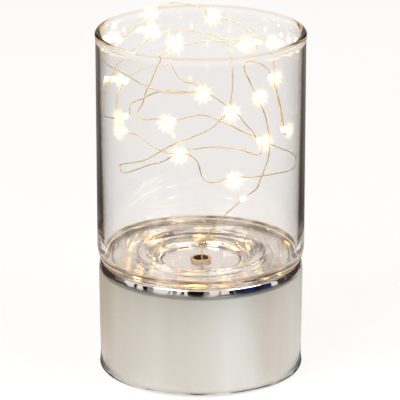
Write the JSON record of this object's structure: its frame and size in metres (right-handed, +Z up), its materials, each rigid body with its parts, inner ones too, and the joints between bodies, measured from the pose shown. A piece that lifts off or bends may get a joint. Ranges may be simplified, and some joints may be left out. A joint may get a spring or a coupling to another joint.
{
  "type": "led decorative column",
  "caption": "Clear glass cylinder vase on a silvered glass base, with a copper LED string rising from a hidden battery unit and looping round inside the vase.",
  "frame": {"origin": "on the standing plane under the feet, on the column's axis", "axes": "+Z up along the column; +X to the right as the picture shows it; the picture looks along +Y"},
  "size_m": [0.1208, 0.1208, 0.2044],
  "materials": {
    "clear_glass": "clear, fire-polished rim",
    "silvered_glass": "silvered glass with a satin side wall",
    "adhesive": "clear cured",
    "clear_plastic": "clear",
    "copper_wire": "lacquered copper",
    "led_resin": "clear resin, warm white light",
    "white_plastic": "moulded, fine texture",
    "black_plastic": "moulded",
    "rubber": "matt",
    "steel": "nickel plated",
    "cell_jacket": "printed film over steel, plain",
    "board_laminate": "green solder mask",
    "red_jacket": "wire insulation",
    "black_jacket": "wire insulation",
    "ceramic": "glazed ceramic"
  },
  "bodies": {
    "column": {"clear_vase": "clear_glass", "silvered_base_shell": "silvered_glass", "bond_ring": "adhesive", "hole_bush": "clear_plastic", "led_string_wire": "copper_wire", "led_bead_01": "led_resin", "led_bead_02": "led_resin", "led_bead_03": "led_resin", "led_bead_04": "led_resin", "led_bead_05": "led_resin", "led_bead_06": "led_resin", "led_bead_07": "led_resin", "led_bead_08": "led_resin", "led_bead_09": "led_resin", "led_bead_10": "led_resin", "led_bead_11": "led_resin", "led_bead_12": "led_resin", "led_bead_13": "led_resin", "led_bead_14": "led_resin", "led_bead_15": "led_resin", "led_bead_16": "led_resin", "led_bead_17": "led_resin", "led_bead_18": "led_resin", "led_bead_19": "led_resin", "led_bead_20": "led_resin", "bottom_plate": "white_plastic", "plate_seal": "adhesive", "bay_cover": "white_plastic", "cover_screw_1": "steel", "cover_screw_2": "steel", "cover_screw_3": "steel", "cover_screw_4": "steel", "door_hinge_pin": "steel", "battery_1": "cell_jacket", "battery_2": "cell_jacket", "battery_3": "cell_jacket", "contact_spring_1": "steel", "contact_spring_2": "steel", "contact_spring_3": "steel", "positive_contact": "steel", "negative_contact": "steel", "link_contact_left": "steel", "link_contact_right": "steel", "circuit_board": "board_laminate", "board_screw_1": "steel", "board_screw_2": "steel", "timer_chip": "black_plastic", "timer_crystal": "steel", "current_resistor": "ceramic", "switch_body": "steel", "foot_1": "rubber", "foot_2": "rubber", "foot_3": "rubber", "foot_4": "rubber", "supply_wire_red": "red_jacket", "supply_wire_black": "black_jacket", "string_lead_tail": "copper_wire"},
    "battery_door": {"battery_door": "white_plastic"},
    "switch_knob": {"switch_knob": "black_plastic"}
  },
  "joints": [
    {"name": "battery_door_hinge", "type": "hinge", "parent": "column", "child": "battery_door", "pos_m": [0, -0.0253, 0.00335], "axis": [-1, 0, 0], "range_deg": [0, 95]},
    {"name": "switch_slide", "type": "slide", "parent": "column", "child": "switch_knob", "axis": [1, 0, 0], "range_m": [0, 0.004]}
  ]
}
